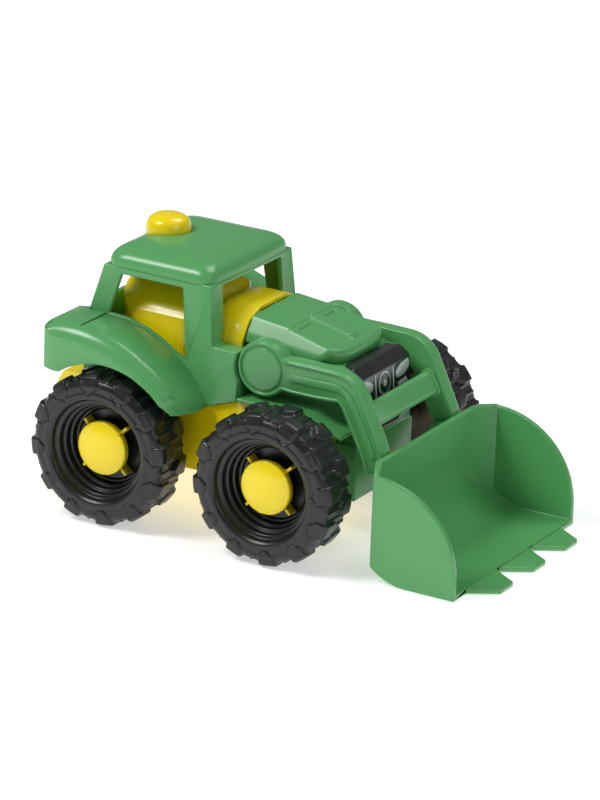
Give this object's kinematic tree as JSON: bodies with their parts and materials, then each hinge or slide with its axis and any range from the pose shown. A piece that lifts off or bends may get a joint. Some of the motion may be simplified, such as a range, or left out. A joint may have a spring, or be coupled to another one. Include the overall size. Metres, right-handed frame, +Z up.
{
  "type": "toy front loader",
  "caption": "Preschool toy tractor loader: rolling lugged wheels, cab with push dome, hinged loader arms and tilting toothed bucket.",
  "frame": {"origin": "on the floor under the middle of the model's overall box, with the bucket down", "axes": "+X forward over the bucket, +Y to the driver's left, +Z up"},
  "size_m": [0.2196, 0.133, 0.119],
  "materials": {
    "green_body": "glossy moulded",
    "green_loader": "glossy moulded",
    "green_bucket": "glossy moulded",
    "yellow_chassis": "satin moulded",
    "yellow_trim": "glossy moulded",
    "black_wheel": "satin moulded",
    "label": "gloss printed label",
    "steel": "plated",
    "cell_can": "plated",
    "board": "coated",
    "black_trim": "matt"
  },
  "bodies": {
    "chassis": {"chassis": "yellow_chassis", "battery_door": "yellow_chassis", "door_screw": "steel", "battery_cells": "cell_can", "battery_contacts": "steel", "speaker": "black_trim", "cab_shell": "green_body", "front_cowl": "green_body", "hood": "green_body", "grille_label": "label", "seat_and_dash": "yellow_trim", "sound_board": "board", "button_spring": "steel", "case_screws": "steel"},
    "button": {"roof_button": "yellow_trim"},
    "loader_frame": {"arm_left": "green_loader", "arm_right": "green_loader", "crossbar": "green_loader", "arm_shaft": "steel"},
    "bucket": {"bucket": "green_bucket", "bucket_pins": "steel"},
    "front_wheels": {"front_axle": "steel", "wheel_front_left": "black_wheel", "wheel_front_right": "black_wheel", "cap_front_left": "yellow_trim", "cap_front_right": "yellow_trim"},
    "rear_wheels": {"rear_axle": "steel", "wheel_rear_left": "black_wheel", "wheel_rear_right": "black_wheel", "cap_rear_left": "yellow_trim", "cap_rear_right": "yellow_trim"}
  },
  "joints": [
    {"name": "loader_lift", "type": "hinge", "parent": "chassis", "child": "loader_frame", "pos_m": [-0.00595, 0, 0.0725], "axis": [0, -1, 0], "range_deg": [0, 50]},
    {"name": "bucket_tilt", "type": "hinge", "parent": "loader_frame", "child": "bucket", "pos_m": [0.047, 0, 0.0395], "axis": [0, 1, 0], "range_deg": [0, 30]},
    {"name": "front_wheel_spin", "type": "hinge", "parent": "chassis", "child": "front_wheels", "pos_m": [0.01325, 0, 0.033], "axis": [0, 1, 0], "continuous": true},
    {"name": "rear_wheel_spin", "type": "hinge", "parent": "chassis", "child": "rear_wheels", "pos_m": [-0.06575, 0, 0.033], "axis": [0, 1, 0], "continuous": true},
    {"name": "button_press", "type": "slide", "parent": "chassis", "child": "button", "axis": [0, 0, -1], "range_m": [0, 0.003], "stiffness_N_per_m": 400, "springref_m": -0.002, "deforming": ["button_spring"]}
  ]
}
